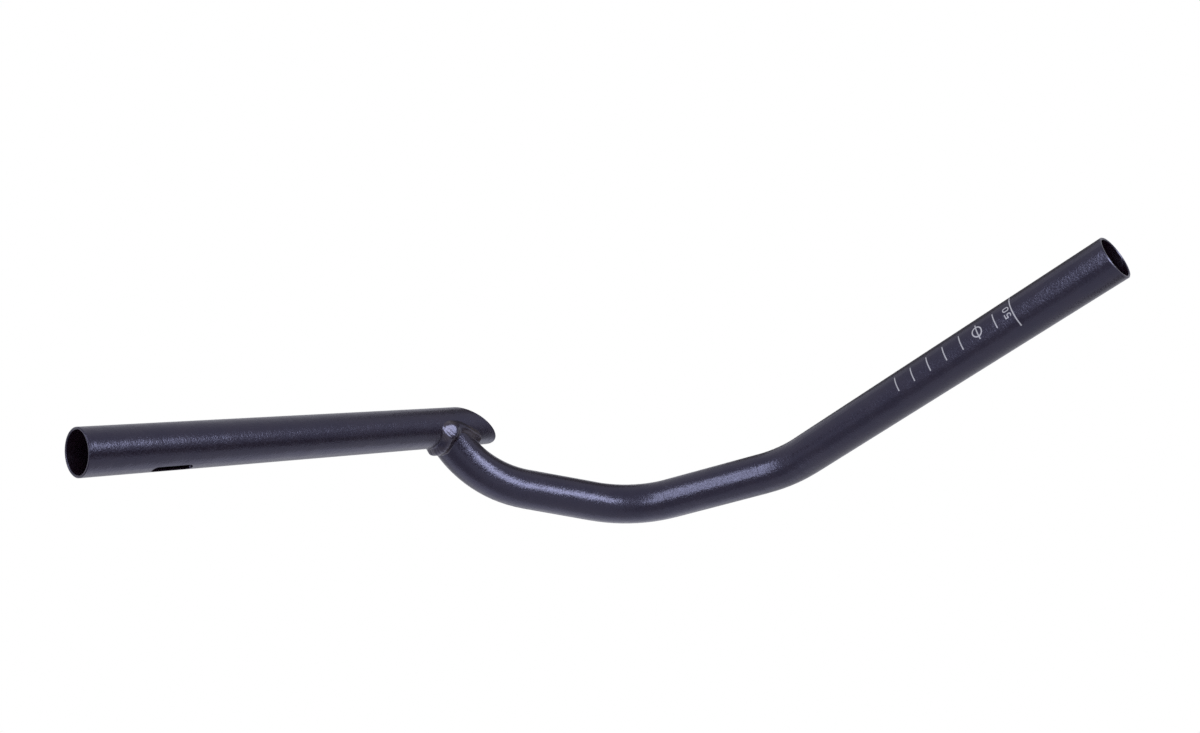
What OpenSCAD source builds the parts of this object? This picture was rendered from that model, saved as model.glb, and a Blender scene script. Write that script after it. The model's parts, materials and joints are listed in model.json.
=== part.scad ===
/* [Tube] */
// Outside diameter of both tubes
tube_od = 22.2; // [20:0.1:26]
// Wall thickness of both tubes
tube_wall = 1.2; // [0.8:0.1:2.5]
// Width of the broken edges at the square-cut ends
edge_break = 0.35; // [0.1:0.05:0.4]

/* [Bar tube] */
// Straight length at the clamp, up to the first bend
clamp_run = 191.5; // [140:0.5:240]
// Straight length between the first and second bends
middle_run = 55.5; // [10:0.5:120]
// Straight length between the second and third bends
rise_run = 39; // [10:0.5:90]
// Straight length between the third bend and the grip tube's centre line
joint_run = 6.5; // [5:0.5:30]
// Radius of the three bends, at the tube's centre line
bend_r = 65; // [50:1:90]
// Angle of the first bend
first_bend = 24; // [10:1:40]
// Angle of the second bend
second_bend = 40; // [20:1:55]
// Angle of the third bend
third_bend = 48; // [35:1:60]
// Slope of the plane of the first two bends, up from level
sweep_slope = 33.5; // [20:0.5:45]
// Turn of the third bend's plane against the plane of the others
third_turn = 36; // [20:1:50]

/* [Grip tube] */
// Length from the bar tube's centre line to the square outer end
grip_run = 210; // [150:1:260]
// Length from the bar tube's centre line to the middle of the slanted end
tail_run = 20; // [20:0.5:60]
// Angle between the slanted end, which faces up, and the tube's centre line
tail_angle = 41; // [25:1:50]

/* [Cable slot] */
// Length of the slot along the grip tube
slot_length = 20; // [12:0.5:40]
// Width of the slot
slot_width = 5; // [4.5:0.1:8]
// Distance from the outer end to the middle of the slot
slot_from_end = 42; // [35:1:100]
// Turn of the slot around the tube, outward from the underside
slot_turn = 4; // [-20:1:20]

/* [Weld] */
// Gap between the coped end of the bar tube and the grip tube
fit_gap = 0.1; // [0.05:0.05:0.4]
// Distance by which the bar tube stops short of the grip tube's centre line, which blunts its coped tips
tip_trim = 3; // [2.5:0.5:4]
// Distance from the corner of the joint to each toe of the bead
bead_leg = 4.2; // [2.5:0.1:5]
// Height of the bead's crown, as a share of half its width
bead_crown = 0.44; // [0.2:0.02:0.6]
// Length of one ripple along the bead
ripple_pitch = 1.8; // [1.2:0.1:3]
// Depth of the valleys between ripples
ripple_depth = 0.2; // [0.1:0.05:0.5]

/* [Width scale] */
// Distance from the clamped end to the limit line
limit_from_end = 50; // [30:1:80]
// Distance between the lines of the scale
tick_pitch = 10; // [8:1:12]
// Number of lines after the limit line
tick_count = 7; // [1:1:8]
// Width of each engraved line
line_width = 0.7; // [0.4:0.1:1.2]
// Depth of each engraved line
line_depth = 0.1; // [0.05:0.05:0.2]
// Part of the circumference that a short line takes, in degrees
tick_arc = 36; // [20:2:60]
// Part of the circumference that the limit line takes, in degrees
limit_arc = 92; // [60:2:140]
// Middle of the scale, in degrees up around the tube from its level side
scale_turn = 19; // [0:1:60]

/* [Hidden] */
$fn = 96;
black = [0.13, 0.125, 0.15];
outer_r = tube_od / 2;
inner_r = outer_r - tube_wall;
// Walls are this much thinner on each face in the bends
bend_ease = 0.03;
// Length by which a straight run tapers into the wall of the bend next to it
lap = 0.6;
// Taper at a tube's end, as its length and its depth on each face
broken = [edge_break, edge_break];
nested = [lap, 2 * bend_ease];
// Length by which cutting bodies stand clear of what they cut
clear = 1;
// Gap between the bead's underside and the tubes
seat_gap = 0.02;
// Distance of the bead's path from the grip tube's surface
path_lift = 0.4;
path_steps = 180;
rings_per_ripple = 6;
crown_points = 8;
// Share of a ripple by which its middle leads its edges
ripple_lean = 0.35;

// A frame has its Z axis along the tube and its X axis toward the centre of the next bend
function run(length) = [[1, 0, 0, 0], [0, 1, 0, 0], [0, 0, 1, length], [0, 0, 0, 1]];
function roll(a) = [[cos(a), -sin(a), 0, 0], [sin(a), cos(a), 0, 0], [0, 0, 1, 0], [0, 0, 0, 1]];
function swing(a) = [
    [cos(a), 0, sin(a), bend_r * (1 - cos(a))],
    [0, 1, 0, 0],
    [-sin(a), 0, cos(a), bend_r * sin(a)],
    [0, 0, 0, 1]
];
clamp_frame = [
    [0, 0, 1, 0],
    [cos(sweep_slope), -sin(sweep_slope), 0, 0],
    [sin(sweep_slope), cos(sweep_slope), 0, 0],
    [0, 0, 0, 1]
];
first_frame = clamp_frame * run(clamp_run);
middle_frame = first_frame * swing(first_bend);
second_frame = middle_frame * run(middle_run);
rise_frame = second_frame * swing(second_bend);
third_frame = rise_frame * run(rise_run) * roll(third_turn);
neck_frame = third_frame * swing(third_bend);
joint_frame = neck_frame * run(joint_run);
joint = [joint_frame[0][3], joint_frame[1][3], joint_frame[2][3]];

// Straight tube along Z from one height to another, with a taper at each end
module straight(from, to, tip_from, tip_to) {
    rotate_extrude()
        polygon([
            [inner_r + tip_from[1], from],
            [outer_r - tip_from[1], from],
            [outer_r, from + tip_from[0]],
            [outer_r, to - tip_to[0]],
            [outer_r - tip_to[1], to],
            [inner_r + tip_to[1], to],
            [inner_r, to - tip_to[0]],
            [inner_r, from + tip_from[0]]
        ]);
}

// Tube swept around a bend, from the frame at its start
module bend(angle) {
    translate([bend_r, 0, 0])
        rotate([0, 0, 180])
            rotate([90, 0, 0])
                rotate_extrude(angle = angle)
                    translate([bend_r, 0])
                        difference() {
                            circle(r = outer_r - bend_ease);
                            circle(r = inner_r + bend_ease);
                        }
}

// Puts its children in the frame at the joint, with Z along the grip tube and Y at its underside
module on_grip_axis() {
    translate(joint)
        rotate([-90, 0, 0])
            children();
}

// Half-round-ended cutter from the tube's centre line out through one wall
module slot_cutter(length, width) {
    reach = outer_r + clear;
    for (side = [-1, 1])
        translate([0, 0, side * (length - width) / 2])
            rotate([-90, 0, 0])
                cylinder(h = reach, d = width);
    translate([-width / 2, 0, -(length - width) / 2])
        cube([width, reach, length - width]);
}

// Puts its children on the clamped run, with Z along it and X at the tube's level side
module on_clamp_run() {
    multmatrix([[0, 0, 1, 0], [1, 0, 0, 0], [0, 1, 0, 0], [0, 0, 0, 1]])
        children();
}

module line_cutter(from_end, arc) {
    translate([0, 0, from_end - line_width / 2])
        rotate([0, 0, scale_turn - arc / 2])
            rotate_extrude(angle = arc)
                translate([outer_r - line_depth, 0])
                    square([line_depth + clear, line_width]);
}

module scale_cutters() {
    line_cutter(limit_from_end, limit_arc);
    for (i = [1:tick_count])
        line_cutter(limit_from_end + i * tick_pitch, tick_arc);
}

module bar_tube() {
    color(black)
        difference() {
            union() {
                multmatrix(clamp_frame)
                    straight(0, clamp_run + lap, broken, nested);
                multmatrix(first_frame)
                    bend(first_bend);
                multmatrix(middle_frame)
                    straight(-lap, middle_run + lap, nested, nested);
                multmatrix(second_frame)
                    bend(second_bend);
                multmatrix(rise_frame)
                    straight(-lap, rise_run + lap, nested, nested);
                multmatrix(third_frame)
                    bend(third_bend);
                multmatrix(neck_frame)
                    straight(-lap, joint_run - tip_trim, nested, nested);
            }
            on_grip_axis()
                cylinder(h = 2 * (tube_od + tail_run), r = outer_r + fit_gap, center = true);
            on_clamp_run()
                scale_cutters();
        }
}

module grip_tube() {
    tail_reach = tail_run + outer_r / tan(tail_angle);
    block = 4 * tail_reach;
    color(black)
        on_grip_axis()
            difference() {
                straight(-tail_reach - clear, grip_run, broken, broken);
                translate([0, 0, -tail_run])
                    rotate([tail_angle - 90, 0, 0])
                        translate([-block / 2, -block / 2, -block])
                            cube(block);
                translate([0, 0, grip_run - slot_from_end])
                    rotate([0, 0, -slot_turn])
                        slot_cutter(slot_length, slot_width);
            }
}

// Frame on the bar tube's centre line, at a distance back from the joint
function frame_back(s) = s < joint_run
    ? joint_frame * run(-s)
    : neck_frame * swing(-(s - joint_run) * 180 / PI / bend_r);
function point_at(frame, a, r) = [for (i = [0:2]) (frame * [r * cos(a), r * sin(a), 0, 1])[i]];
function axis_of(frame, column) = [for (i = [0:2]) frame[i][column]];
function from_grip_axis(p) = [p[0] - joint[0], 0, p[2] - joint[2]];
function unit(v) = v / norm(v);
function mix(p, q, share) = p + share * (q - p);

// Distance back from the joint at which a line along the bar tube's surface is this far off the grip tube
function line_back(a, lift, low = 0, high = 3 * tube_od, steps = 18) =
    steps == 0 ? (low + high) / 2
    : let(middle = (low + high) / 2)
      norm(from_grip_axis(point_at(frame_back(middle), a, outer_r))) < outer_r + lift
      ? line_back(a, lift, middle, high, steps - 1)
      : line_back(a, lift, low, middle, steps - 1);
function path_point(a) = point_at(frame_back(line_back(a, path_lift)), a, outer_r);

path_angles = [for (i = [0:path_steps]) i * 360 / path_steps];
path_points = [for (a = path_angles) path_point(a)];
path_lengths = [
    for (i = 0, s = 0; i <= path_steps; s = s + norm(path_points[min(i + 1, path_steps)] - path_points[i]), i = i + 1)
        s
];
path_table = [for (i = [0:path_steps]) [path_lengths[i], path_angles[i]]];
path_total = path_lengths[path_steps];
ripple_count = round(path_total / ripple_pitch);
bead_rings = ripple_count * rings_per_ripple;

// Depth of the ripple pattern at a place along the bead, and across it from -1 at one toe to 1 at the other
function valley(ring, across) =
    let(phase = ring / rings_per_ripple + ripple_lean * (1 - across * across))
    ripple_depth * (1 - abs(cos(180 * phase)));

function on_grip_surface(p) =
    let(out = from_grip_axis(p))
    p + out * ((outer_r + seat_gap) / norm(out) - 1);

// One section of the bead, in the half-plane from the bar tube's centre line at the angle of its ring
function bead_section(ring) =
    let(
        a = lookup(ring / bead_rings * path_total, path_table),
        back = line_back(a, path_lift),
        frame = frame_back(back),
        start = point_at(frame, a, outer_r),
        out_bar = unit(start - axis_of(frame, 3)),
        out_grip = unit(from_grip_axis(start)),
        side = cross(axis_of(frame, 2), out_bar),
        leg = bead_leg - valley(ring, 1),
        corner_back = max(line_back(a, fit_gap), tip_trim),
        surface_r = outer_r + seat_gap,
        bar_toe = point_at(frame_back(back + leg), a, surface_r),
        bar_middle = point_at(frame_back((back + leg + corner_back) / 2), a, surface_r),
        bar_corner = point_at(frame_back(corner_back), a, surface_r),
        grip_corner = on_grip_surface(bar_corner),
        grip_toe = on_grip_surface(start + leg * unit(cross(out_grip, side))),
        chord = (grip_toe - bar_toe) / 2,
        half = norm(chord),
        bulge = unit(cross(side, chord)),
        crown = bead_crown * half,
        radius = (half * half + crown * crown) / (2 * crown),
        reach = 2 * atan(crown / half)
    )
    [
        bar_toe,
        for (j = [1:crown_points])
            let(
                across = 2 * j / (crown_points + 1) - 1,
                turn = across * reach,
                sunk = valley(ring, across) * sin(90 * (1 - abs(across)))
            )
            (bar_toe + grip_toe) / 2 + (radius - sunk) * (sin(turn) * chord / half + cos(turn) * bulge)
                + (crown - radius) * bulge,
        grip_toe,
        on_grip_surface(mix(grip_toe, grip_corner, 1 / 3)),
        on_grip_surface(mix(grip_toe, grip_corner, 2 / 3)),
        grip_corner,
        bar_corner,
        bar_middle
    ];

module weld_bead() {
    sections = [for (ring = [0:bead_rings - 1]) bead_section(ring)];
    corners = [for (section = sections) each section];
    sides = len(sections[0]);
    faces = [
        for (i = [0:bead_rings - 1])
            for (j = [0:sides - 1])
                let(
                    here = i * sides,
                    next = (i + 1) % bead_rings * sides,
                    j2 = (j + 1) % sides
                )
                each [
                    [here + j, next + j2, next + j],
                    [here + j, here + j2, next + j2]
                ]
    ];
    color(black)
        polyhedron(corners, faces);
}

bar_tube();
grip_tube();
weld_bead();
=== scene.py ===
"""Left half of a swept-back bicycle handlebar in fine satin black, seen from below its open ends."""

import json
import math

import bpy
import numpy as np
from mathutils import Matrix, Vector


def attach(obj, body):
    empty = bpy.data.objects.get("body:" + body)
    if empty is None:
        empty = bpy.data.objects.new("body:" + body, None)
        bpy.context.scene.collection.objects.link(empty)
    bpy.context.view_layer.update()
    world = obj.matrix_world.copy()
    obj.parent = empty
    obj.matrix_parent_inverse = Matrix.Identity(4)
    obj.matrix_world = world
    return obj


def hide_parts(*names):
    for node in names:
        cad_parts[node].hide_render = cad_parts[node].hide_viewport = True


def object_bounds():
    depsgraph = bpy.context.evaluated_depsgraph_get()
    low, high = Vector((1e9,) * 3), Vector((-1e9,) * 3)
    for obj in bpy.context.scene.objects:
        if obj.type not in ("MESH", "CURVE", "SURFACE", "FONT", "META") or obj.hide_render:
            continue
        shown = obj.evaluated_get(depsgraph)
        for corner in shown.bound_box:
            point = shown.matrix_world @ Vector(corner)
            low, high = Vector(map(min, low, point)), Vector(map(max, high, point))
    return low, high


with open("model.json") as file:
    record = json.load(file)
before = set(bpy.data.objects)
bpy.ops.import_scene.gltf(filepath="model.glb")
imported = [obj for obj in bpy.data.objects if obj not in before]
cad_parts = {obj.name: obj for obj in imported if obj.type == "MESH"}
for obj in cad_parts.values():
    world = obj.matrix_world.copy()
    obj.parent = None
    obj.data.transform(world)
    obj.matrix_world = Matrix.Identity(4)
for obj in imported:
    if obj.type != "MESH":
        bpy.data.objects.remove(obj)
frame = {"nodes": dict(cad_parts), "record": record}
cad_low, cad_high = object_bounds()
nodes = frame["nodes"]
MM = 0.001

# The photograph and the camera that took it, with the near and far limits of view in metres
PHOTO_WIDTH = 1200
FOCAL_PIXELS = 1252.9
SENSOR_WIDTH = 36.0
CAMERA_PLACE = np.array([-146.69, 586.45, -135.93]) * MM
CAMERA_RIGHT = (-0.6452, -0.6538, -0.3953)
CAMERA_UP = (-0.5120, -0.0139, 0.8588)
CAMERA_BACK = (-0.5670, 0.7566, -0.3258)
CLIP_NEAR, CLIP_FAR = 0.01, 20

# The tubes' radius and the middle of the part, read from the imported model
clamp_mount = next(m for m in frame["record"]["mounts"] if m["name"] == "bar_clamp")
TUBE_R = clamp_mount["dims"]["r_mm"] * MM
CENTRE = np.array((cad_low + cad_high) / 2)

# The route of the bar tube and its place on the grip tube, as in the part's source
CLAMP_RUN = 191.5 * MM
MIDDLE_RUN = 55.5 * MM
RISE_RUN = 39 * MM
JOINT_RUN = 6.5 * MM
BEND_R = 65 * MM
FIRST_BEND, SECOND_BEND, THIRD_BEND = 24, 40, 48
SWEEP_SLOPE = 33.5
THIRD_TURN = 36

# The weld bead: angles go round the bar tube from the inside of its last bend
BEAD_RINGS = 1080
BEAD_STEPS = 40
BEAD_LIFT = 0.4 * MM
BEAD_LEG = 4.8 * MM
BEAD_CROWN = 0.40
BEAD_DIP = 0.62
TOE_DEPTH = 0.12 * MM
RIPPLE_PITCH = 1.8 * MM
RIPPLE_DEPTH = 0.20 * MM
RIPPLE_LEAN = 0.45
RIPPLE_SHARPNESS = 4

# A calm stretch of the bead: its middle and spread in degrees, and the share of the ripples that it loses
CALM_TURN, CALM_SPREAD = 320, 75
CALM_SHARE = 0.85

# A flattened blob on the bead: its place round and across, its extra width, and the dome it is pulled onto.
# The pull ends at the toes and past the blob's radius, more sharply with a higher power.
LUMP_TURN, LUMP_SPREAD = 297, 22
LUMP_LEG = 5.5 * MM
LUMP_SHARE = 0.57
LUMP_FACE = np.array([-0.905, 0.330, -0.268])
LUMP_RISE = -0.45 * MM
LUMP_R = 5.0 * MM
LUMP_DOME_R = 40 * MM
TOE_HOLD, LUMP_HOLD = 10, 8

# Uneven widths and heights along the bead: each wave has a size, a count round the joint and a start
LEG_WAVER = 0.045
LEG_WAVES = ((1, 3, 0.4), (0.7, 7, 2.1), (0.5, 16, 1.0))
GRIP_LEG_WAVES = ((0.03, 5, 0),)
CROWN_WAVES = ((0.05, 11, 0.5),)

# The bead's hidden underside and a circle well inside the grip tube, as shares of the tubes' radius
UNDER_SHARE = 0.96
INNER_SHARE = 0.6

# The search for the line in which the tubes meet: its halvings, and its reach in tube radii
HALVINGS = 30
FURTHEST_BACK = 6

# The width scale on the clamped straight: angles go round the tube from its level side, up
LIMIT_PLACE = 50 * MM
TICK_PITCH = 10 * MM
TICK_COUNT = 7
LINE_WIDTH = 0.64 * MM
SCALE_TURN = math.radians(18)
TICK_ARC = math.radians(42)
LIMIT_ARC = math.radians(96)
RINGED_TICK = 2
RING_R = 2.5 * MM
DIGIT_HEIGHT = 3.5 * MM
DIGIT_WIDTH = 2.3 * MM
DIGIT_GAP = 1.1 * MM
DIGIT_STROKE = 0.5 * MM
NUMBER_CLEARANCE = 0.7 * MM
MARK_SOFTNESS = 0.12 * MM

# The gap on the left of the five's bowl: its half height and the width of its fade, in shares of the radius
GAP_HALF_HEIGHT, GAP_FADE = 0.45, 0.3

# Colours as linear light
COATING = (0.0060, 0.0020, 0.0060, 1)
COATING_DUSTY = (0.0090, 0.0040, 0.0075, 1)
BEAD_DUSTY = (0.036, 0.027, 0.026, 1)
COATING_SHEEN = (0.61, 0.64, 1.0, 1)
COATING_IOR = 1.649
MARK_SILVER = (0.42, 0.42, 0.46, 1)
COOL = (0.93, 0.93, 1, 1)
PALE = (0.86, 0.86, 0.87, 1)
WHITE = (1, 1, 1, 1)

# The coating: each noise has a scale, a detail and a roughness, and two levels between which it takes effect
GRAIN_NOISE, GRAIN_EDGES = (1200, 2, 0.6), (0.40, 0.62)
CLOUD_NOISE, CLOUD_EDGES = (90, 3, 0.55), (0.35, 0.65)
SMOOTHEST = 0.16
CLOUD_ROUGHNESS = 0.07
GRAIN_ROUGHNESS = 0.11
MARK_ROUGHNESS = 0.42
CLOUD_RELIEF = 3
RELIEF_STRENGTH = 0.5
TUBE_RELIEF = 0.22 * MM
BEAD_RELIEF = 0.12 * MM

# The floor under the part: it fades to white between two radii, and glows by a share of white inside them
FLOOR_DROP = 0.45
FLOOR_R = 0.8
FLOOR_CLEAR_R = 0.25
FLOOR_WHITE_R = 0.76
FLOOR_GLOW = 0.45
FLOOR_RINGS, FLOOR_SPOKES = 3, 97

# The world's level of light, and the level at which reflections see it
WORLD_LEVEL = 1.0
REFLECTED_LEVEL = 0.77

# Soft boxes, seen from the part: degrees from +Y toward +X, degrees up, and radiance against white at 1
BOX_DISTANCE = 4.0
SOFT_BOXES = {
    "long_box": ((-113, -47), (-14, 7), 9.5),
    "low_box": ((-17, 5), (-7, 17), 5.8),
    "high_box": ((-15, 5), (20, 42), 6.5),
}

# Cards close to the part, in the same terms
CARD_DISTANCE = 0.55
CARD_ROWS, CARD_COLUMNS = 9, 41
CARDS = {
    "dark_card": ((-172, -64), (-60, -32), 0.22),
    "back_card": ((152, 192), (12, 52), 0.2),
    "near_card": ((-14, 56), (-58, -12), 0.50),
    "bright_card": ((62, 140), (-50, -10), 1.35),
}


class Value:
    """A node's output. Arithmetic on a number adds Math nodes."""

    def __init__(self, shader, socket):
        self.shader = shader
        self.socket = socket

    def math(self, operation, *others):
        inputs = dict(enumerate((self, *others)))
        return self.shader.node("ShaderNodeMath", inputs, operation=operation)

    def __add__(self, other):
        return self.math("ADD", other)

    __radd__ = __add__

    def __sub__(self, other):
        return self.math("SUBTRACT", other)

    def __rsub__(self, other):
        return self.shader.node("ShaderNodeMath", {0: other, 1: self}, operation="SUBTRACT")

    def __mul__(self, other):
        return self.math("MULTIPLY", other)

    __rmul__ = __mul__

    def __abs__(self):
        return self.math("ABSOLUTE")

    def __pow__(self, other):
        return self.math("POWER", other)

    def step(self, start, end):
        """0 before start and 1 after end, with a smooth rise between them."""
        inputs = {"Value": self, "From Min": start, "From Max": end}
        return self.shader.node("ShaderNodeMapRange", inputs, interpolation_type="SMOOTHSTEP")

    def most(self, other):
        return self.math("MAXIMUM", other)


class Shader:
    """The node tree of a material or the world, and the one method that adds any node to it."""

    def __init__(self, owner):
        self.owner = owner
        owner.use_nodes = True
        self.tree = owner.node_tree
        self.tree.nodes.clear()

    def node(self, kind, inputs=None, output=0, **settings):
        made = self.tree.nodes.new(kind)
        for name, value in settings.items():
            setattr(made, name, value)
        for name, value in (inputs or {}).items():
            if isinstance(value, Value):
                self.tree.links.new(value.socket, made.inputs[name])
            else:
                made.inputs[name].default_value = value
        return Value(self, made.outputs[output]) if made.outputs else None

    def place(self):
        return self.node("ShaderNodeTexCoord", output="Object")

    def parts(self, vector):
        split = self.node("ShaderNodeSeparateXYZ", {0: vector}).socket.node
        return [Value(self, socket) for socket in split.outputs]

    def noise(self, scale, detail, roughness):
        inputs = {"Vector": self.place(), "Scale": scale, "Detail": detail, "Roughness": roughness}
        return self.node("ShaderNodeTexNoise", inputs)

    def mix(self, share, first, second):
        """A mix of two colours, which are the node's inputs 6 and 7 and its output 2."""
        inputs = {0: share, 6: first, 7: second}
        return self.node("ShaderNodeMix", inputs, output=2, data_type="RGBA")

    def bump(self, height, strength, distance):
        inputs = {"Height": height, "Strength": strength, "Distance": distance}
        return self.node("ShaderNodeBump", inputs)

    def surface(self, result):
        self.node("ShaderNodeOutputMaterial", {"Surface": result})
        return self.owner


def satin_black(name, marks=None, dusty=COATING_DUSTY, relief=TUBE_RELIEF):
    """Fine satin powder coat: a dark violet black with a grain of 0.8 mm and soft cloudy changes of gloss.

    The roughness is the smoothest level plus a share of the clouds and a share of the grain."""
    shader = Shader(bpy.data.materials.new(name))
    grain = shader.noise(*GRAIN_NOISE)
    cloud = shader.noise(*CLOUD_NOISE)
    colour = shader.mix(cloud.step(*CLOUD_EDGES), COATING, dusty)
    roughness = SMOOTHEST + CLOUD_ROUGHNESS * cloud + GRAIN_ROUGHNESS * grain.step(*GRAIN_EDGES)
    if marks is not None:
        mask = marks(shader)
        colour = shader.mix(mask, colour, MARK_SILVER)
        roughness = roughness * (1 - mask) + MARK_ROUGHNESS * mask
    normal = shader.bump(grain + CLOUD_RELIEF * cloud, RELIEF_STRENGTH, relief)
    principled = {
        "Base Color": colour,
        "Roughness": roughness,
        "Normal": normal,
        "IOR": COATING_IOR,
        "Specular Tint": COATING_SHEEN,
    }
    return shader.surface(shader.node("ShaderNodeBsdfPrincipled", principled))


def band(distance, half_width):
    """1 within half a width on either side of the middle, with a soft edge."""
    return 1 - abs(distance).step(half_width - MARK_SOFTNESS, half_width + MARK_SOFTNESS)


def loop(across, up, half_width, half_height, stroke):
    """A stroke round an upright slot shape.

    Its middle lies where sqrt(across * across + past * past) is the end radius. Past is the height beyond the
    slot's straight sides, and 0 beside them."""
    radius = half_width - stroke / 2
    past = (abs(up) - (half_height - half_width)).most(0)
    return band((across**2.0 + past**2.0) ** 0.5 - radius, stroke / 2)


def zero(across, up):
    return loop(across, up, DIGIT_WIDTH / 2, DIGIT_HEIGHT / 2, DIGIT_STROKE)


def five(across, up):
    """A five: a flag along the top, a stem down its left and a round bowl that is open on the left."""
    half_stroke = DIGIT_STROKE / 2
    side = DIGIT_WIDTH / 2 - half_stroke
    top = DIGIT_HEIGHT / 2 - half_stroke
    bowl_r = DIGIT_WIDTH / 2
    bowl_up = up + (DIGIT_HEIGHT / 2 - bowl_r)
    bowl = loop(across, bowl_up, bowl_r, bowl_r, DIGIT_STROKE)
    opening = band(bowl_up, bowl_r * GAP_HALF_HEIGHT) * (1 - across.step(-bowl_r * GAP_FADE, 0))
    flag = band(up - top, half_stroke) * band(across, DIGIT_WIDTH / 2)
    stem_up = (top + half_stroke) / 2
    stem = band(across + side, half_stroke) * band(up - stem_up, stem_up)
    return (bowl * (1 - opening)).most(flag).most(stem)


def scale_marks(shader):
    """Mask of the width scale: a limit line, shorter lines at even steps past it, a ring and a number.

    The turn is atan2(z, y) less the middle of the scale. The number has its top away from the clamp end."""
    along, level, up = shader.parts(shader.place())
    turn = up.math("ARCTAN2", level) - SCALE_TURN
    round_tube = turn * TUBE_R
    half = LINE_WIDTH / 2
    limit = band(along - LIMIT_PLACE, half) * band(round_tube, LIMIT_ARC * TUBE_R / 2)
    first = LIMIT_PLACE + TICK_PITCH / 2
    last = LIMIT_PLACE + (TICK_COUNT + 0.5) * TICK_PITCH
    within = along.step(first, first + MARK_SOFTNESS) * (1 - along.step(last, last + MARK_SOFTNESS))
    to_tick = (along - LIMIT_PLACE + TICK_PITCH / 2).math("FLOORED_MODULO", TICK_PITCH) - TICK_PITCH / 2
    ticks = band(to_tick, half) * band(round_tube, TICK_ARC * TUBE_R / 2) * within
    ring_place = LIMIT_PLACE + RINGED_TICK * TICK_PITCH
    ring = band(((along - ring_place) ** 2.0 + round_tube**2.0) ** 0.5 - RING_R, half)
    number_up = along - (LIMIT_PLACE + half + NUMBER_CLEARANCE + DIGIT_HEIGHT / 2)
    offset = (DIGIT_WIDTH + DIGIT_GAP) / 2
    number = five(round_tube + offset, number_up).most(zero(round_tube - offset, number_up))
    return limit.most(ticks).most(ring).most(number)


def finish_solid(name, material):
    materials = nodes[name].data.materials
    materials.clear()
    materials.append(material)


def mesh_object(name, points, faces, material):
    """An object at the origin from arrays of points and faces."""
    mesh = bpy.data.meshes.new(name)
    mesh.from_pydata(points.tolist(), [], faces.tolist())
    mesh.materials.append(material)
    mesh.polygons.foreach_set("use_smooth", np.ones(len(mesh.polygons), bool))
    made = bpy.data.objects.new(name, mesh)
    bpy.context.scene.collection.objects.link(made)
    return made


def grid_faces(rows, columns, closed_rows=False):
    """Quads of a grid of points that is stored row by row."""
    i, j = np.meshgrid(np.arange(rows if closed_rows else rows - 1), np.arange(columns - 1), indexing="ij")
    below = i * columns + j
    above = (i + 1) % rows * columns + j
    return np.stack([below, above, above + 1, below + 1], -1).reshape(-1, 4)


def moved(along=0.0, turn=0.0):
    """Frame moved along its Z axis, then turned about it."""
    c, s = math.cos(math.radians(turn)), math.sin(math.radians(turn))
    return np.array([[c, -s, 0, 0], [s, c, 0, 0], [0, 0, 1, along], [0, 0, 0, 1]])


def bent(turn):
    """Frame carried round a bend whose centre lies on its X axis."""
    c, s = math.cos(math.radians(turn)), math.sin(math.radians(turn))
    return np.array([[c, 0, s, BEND_R * (1 - c)], [0, 1, 0, 0], [-s, 0, c, BEND_R * s], [0, 0, 0, 1]])


def neck_frame():
    """Frame at the end of the last bend, with Z along the bar tube and X toward the bend's centre."""
    c, s = math.cos(math.radians(SWEEP_SLOPE)), math.sin(math.radians(SWEEP_SLOPE))
    start = np.array([[0, 0, 1, 0], [c, -s, 0, 0], [s, c, 0, 0], [0, 0, 0, 1]])
    first = start @ moved(CLAMP_RUN) @ bent(FIRST_BEND) @ moved(MIDDLE_RUN)
    return first @ bent(SECOND_BEND) @ moved(RISE_RUN, THIRD_TURN) @ bent(THIRD_BEND)


NECK = neck_frame()
JOINT = (NECK @ [0, 0, JOINT_RUN, 1])[:3]


def unit(vectors):
    return vectors / np.linalg.norm(vectors, axis=-1, keepdims=True)


def on_bar(turn, back, radius=TUBE_R):
    """Points on the bar tube: straight back from the joint, then round the last bend.

    The turn round the bend is (back - run) / bend radius, in radians."""
    bend = np.maximum(back - JOINT_RUN, 0) / BEND_R
    x = radius * np.cos(turn) * np.cos(bend) + BEND_R * (1 - np.cos(bend))
    y = radius * np.sin(turn)
    z = radius * np.cos(turn) * np.sin(bend) - BEND_R * np.sin(bend) + np.maximum(JOINT_RUN - back, 0)
    return np.stack(np.broadcast_arrays(x, y, z), -1) @ NECK[:3, :3].T + NECK[:3, 3]


def hill(degrees, middle, spread):
    """1 at the middle angle, falling off on both sides as a bell curve."""
    return np.exp(-((((degrees - middle + 180) % 360 - 180) / spread) ** 2))


def waves(turn, terms):
    """Sum of size * sin(count * turn + start) over the terms."""
    return sum(size * np.sin(count * turn + start) for size, count, start in terms)


def from_grip_axis(points):
    return (points - JOINT) * [1, 0, 1]


def on_grip(points, radius=TUBE_R):
    """Points moved square to the grip tube's axis onto a cylinder round it."""
    out = from_grip_axis(points)
    return points + out * (radius / np.linalg.norm(out, axis=-1, keepdims=True) - 1)


def back_to_grip(turn, lift):
    """Distance back from the joint at which a line along the bar tube is this far off the grip tube.

    It is found by halving: as long as a place is nearer than that, the search goes on further back."""
    low, high = np.zeros_like(turn), np.full_like(turn, FURTHEST_BACK * TUBE_R)
    for _ in range(HALVINGS):
        middle = (low + high) / 2
        near = np.linalg.norm(from_grip_axis(on_bar(turn, middle)), axis=-1) < TUBE_R + lift
        low, high = np.where(near, middle, low), np.where(near, high, middle)
    return (low + high) / 2


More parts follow.
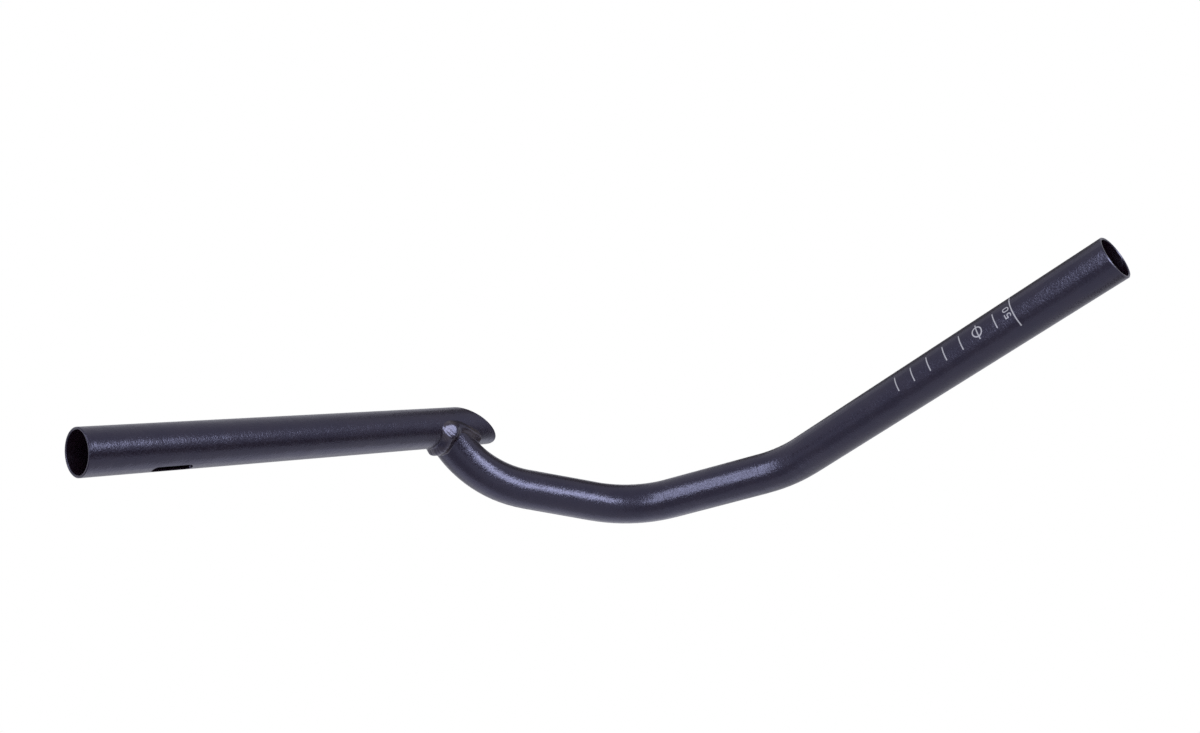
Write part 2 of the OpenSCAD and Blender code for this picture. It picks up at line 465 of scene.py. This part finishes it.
def make_bead(material):
    """The weld bead: a hump with soft feet, carried round the saddle curve where the tubes meet.

    Over a straight line between its toes it stands (1 - u * u) * (crown - dip * u * u) half widths high, with
    u from -1 to 1 across. Taken off are ripples of depth * (1 - u * u) * cos(pi * (s / pitch +
    lean * (1 - u * u))) ** sharpness, with s along the bead, which are shallower on the calm stretch. One
    place is wider, and there the bead is pulled onto a shallow dome, as a flattened blob.

    Known fault: from 9 to 86 degrees away comes out as -1 where it should be 1, so that stretch of the bead
    runs inside the bar tube."""
    turn = np.linspace(0, 2 * np.pi, BEAD_RINGS, endpoint=False)
    degrees = np.degrees(turn)
    back = back_to_grip(turn, BEAD_LIFT)
    corner = on_bar(turn, back)
    step = np.linalg.norm(np.roll(corner, -1, 0) - corner, axis=-1)
    along = np.cumsum(step) - step
    phase = along / step.sum() * np.round(step.sum() / RIPPLE_PITCH)
    lump = hill(degrees, LUMP_TURN, LUMP_SPREAD)
    calm = hill(degrees, CALM_TURN, CALM_SPREAD)
    leg = BEAD_LEG * (1 + LEG_WAVER * waves(turn, LEG_WAVES))
    forward = unit(np.roll(corner, -1, 0) - np.roll(corner, 1, 0))
    toward_end = unit(np.cross(unit(from_grip_axis(corner)), forward))
    away = np.sign(np.sum(toward_end * (corner - on_bar(turn, back + BEAD_LEG)), -1, keepdims=True))
    bar_toe = on_bar(turn, back + leg, TUBE_R - TOE_DEPTH)
    grip_leg = leg * (1 + waves(turn, GRIP_LEG_WAVES)) + LUMP_LEG * lump
    grip_toe = on_grip(corner + (grip_leg[:, None] * away) * toward_end, TUBE_R - TOE_DEPTH)
    u = np.linspace(-1, 1, BEAD_STEPS)[None, :, None]
    chord = (grip_toe - bar_toe) / 2
    half = np.linalg.norm(chord, axis=-1, keepdims=True)
    bulge = unit(np.cross(forward, chord))
    outward = (bar_toe + grip_toe) / 2 - on_grip(corner, TUBE_R * INNER_SHARE)
    bulge *= np.sign(np.sum(bulge * outward, -1, keepdims=True))
    crown = half * (1 + waves(turn, CROWN_WAVES))[:, None]
    height = crown[:, None, :] * (1 - u**2) * (BEAD_CROWN - BEAD_DIP * u**2)
    top = (bar_toe + grip_toe)[:, None, :] / 2 + u * chord[:, None, :] + height * bulge[:, None, :]
    middle = top[round(BEAD_RINGS * LUMP_TURN / 360), round(BEAD_STEPS * LUMP_SHARE)]
    centre = middle + LUMP_RISE * LUMP_FACE
    above = (top - centre) @ LUMP_FACE
    reach = np.linalg.norm(top - centre - above[..., None] * LUMP_FACE, axis=-1)
    pull = (1 - u[..., 0] ** TOE_HOLD) / (1 + (reach / LUMP_R) ** LUMP_HOLD) * (np.abs(above) < LUMP_R)
    top += (pull * (-(reach**2) / (2 * LUMP_DOME_R) - above))[..., None] * LUMP_FACE
    ripple = np.cos(np.pi * (phase[:, None, None] + RIPPLE_LEAN * (1 - u**2))) ** RIPPLE_SHARPNESS
    depth = RIPPLE_DEPTH * (1 - CALM_SHARE * calm)[:, None, None] * (1 - u**2)
    top -= depth * ripple * bulge[:, None, :]
    under = on_grip(on_bar(turn, back_to_grip(turn, 0)), TUBE_R * UNDER_SHARE)
    points = np.concatenate([top, under[:, None, :], top[:, :1]], 1)
    columns = BEAD_STEPS + 1
    faces = grid_faces(BEAD_RINGS, columns + 1, closed_rows=True)
    ring, column = faces // (columns + 1), faces % (columns + 1) % columns
    points = points[:, :columns].reshape(-1, 3)
    bead = mesh_object("weld_bead_rippled", points, ring * columns + column, material)
    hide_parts("weld_bead")
    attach(bead, "root")


def place_camera():
    camera = bpy.data.cameras.new("camera")
    camera.sensor_width = SENSOR_WIDTH
    camera.lens = FOCAL_PIXELS / PHOTO_WIDTH * SENSOR_WIDTH
    camera.clip_start = CLIP_NEAR
    camera.clip_end = CLIP_FAR
    made = bpy.data.objects.new("camera", camera)
    turn = np.eye(4)
    turn[:3, :3] = np.array([CAMERA_RIGHT, CAMERA_UP, CAMERA_BACK]).T
    turn[:3, 3] = CAMERA_PLACE
    made.matrix_world = Matrix(turn)
    bpy.context.scene.collection.objects.link(made)
    bpy.context.scene.camera = made


def make_floor():
    """A round pale floor under the part: a grid of rings and spokes that fades to white toward its rim."""
    shader = Shader(bpy.data.materials.new("pale_floor"))
    x, y, _ = shader.parts(shader.place())
    reach = ((x - CENTRE[0]) ** 2.0 + (y - CENTRE[1]) ** 2.0) ** 0.5
    fade = reach.step(FLOOR_CLEAR_R, FLOOR_WHITE_R)
    seen = shader.node("ShaderNodeLightPath", output="Is Camera Ray")
    glow = shader.node("ShaderNodeEmission", {"Color": WHITE, "Strength": 1.0})
    matt = shader.node("ShaderNodeBsdfDiffuse", {"Color": PALE})
    share = seen * (FLOOR_GLOW + (1 - FLOOR_GLOW) * fade)
    material = shader.surface(shader.node("ShaderNodeMixShader", {0: share, 1: matt, 2: glow}))
    out, round_floor = np.linspace(0, FLOOR_R, FLOOR_RINGS), np.linspace(0, 2 * np.pi, FLOOR_SPOKES)
    radius, angle = np.meshgrid(out, round_floor, indexing="ij")
    level = np.full_like(radius, cad_low[2] - FLOOR_DROP)
    points = np.stack([CENTRE[0] + radius * np.cos(angle), CENTRE[1] + radius * np.sin(angle), level], -1)
    floor = mesh_object("floor", points.reshape(-1, 3), grid_faces(FLOOR_RINGS, FLOOR_SPOKES), material)


def light_world():
    """White behind everything and on what is matt, and a dimmer and slightly cool white in reflections."""
    shader = Shader(bpy.data.worlds.new("studio"))
    camera_ray = shader.node("ShaderNodeLightPath", output="Is Camera Ray")
    glossy_ray = shader.node("ShaderNodeLightPath", output="Is Glossy Ray")
    reflected = glossy_ray * (1 - camera_ray)
    strength = WORLD_LEVEL + (REFLECTED_LEVEL - WORLD_LEVEL) * reflected
    colour = shader.mix(reflected, WHITE, COOL)
    background = shader.node("ShaderNodeBackground", {"Color": colour, "Strength": strength})
    shader.node("ShaderNodeOutputWorld", {"Surface": background})
    bpy.context.scene.world = shader.owner


def place_cards():
    """Strips of a sphere round the part, from dark to bright, which only reflections see."""
    for name, (around, up, radiance) in CARDS.items():
        shader = Shader(bpy.data.materials.new(name))
        material = shader.surface(shader.node("ShaderNodeEmission", {"Color": COOL, "Strength": radiance}))
        rises, turns = np.linspace(*up, CARD_ROWS), np.linspace(*around, CARD_COLUMNS)
        rise, turn = np.meshgrid(np.radians(rises), np.radians(turns), indexing="ij")
        away = np.stack([np.sin(turn) * np.cos(rise), np.cos(turn) * np.cos(rise), np.sin(rise)], -1)
        points = CENTRE + CARD_DISTANCE * away
        card = mesh_object(name, points.reshape(-1, 3), grid_faces(CARD_ROWS, CARD_COLUMNS), material)
        card.visible_camera = card.visible_diffuse = card.visible_shadow = False


def place_soft_boxes():
    """Area lamps that only reflections see: energy is radiance * pi * width * height."""
    for name, (around, up, radiance) in SOFT_BOXES.items():
        lamp = bpy.data.lights.new(name, "AREA")
        lamp.shape = "RECTANGLE"
        lamp.size, lamp.size_y = (
            2 * BOX_DISTANCE * math.tan(math.radians(high - low) / 2) for low, high in (around, up)
        )
        lamp.energy = radiance * math.pi * lamp.size * lamp.size_y
        turn, rise = (math.radians(sum(span) / 2) for span in (around, up))
        away = Vector((math.sin(turn) * math.cos(rise), math.cos(turn) * math.cos(rise), math.sin(rise)))
        made = bpy.data.objects.new(name, lamp)
        made.location = Vector(CENTRE) + away * BOX_DISTANCE
        made.rotation_mode = "QUATERNION"
        made.rotation_quaternion = away.to_track_quat("Z", "Y")
        made.visible_camera = made.visible_diffuse = False
        bpy.context.scene.collection.objects.link(made)


place_camera()
finish_solid("bar_tube", satin_black("bar_coating", scale_marks))
finish_solid("grip_tube", satin_black("grip_coating"))
bead_coating = satin_black("bead_coating", dusty=BEAD_DUSTY, relief=BEAD_RELIEF)
finish_solid("weld_bead", bead_coating)
make_bead(bead_coating)
make_floor()
light_world()
place_cards()
place_soft_boxes()
bpy.context.scene.view_settings.view_transform = "Standard"
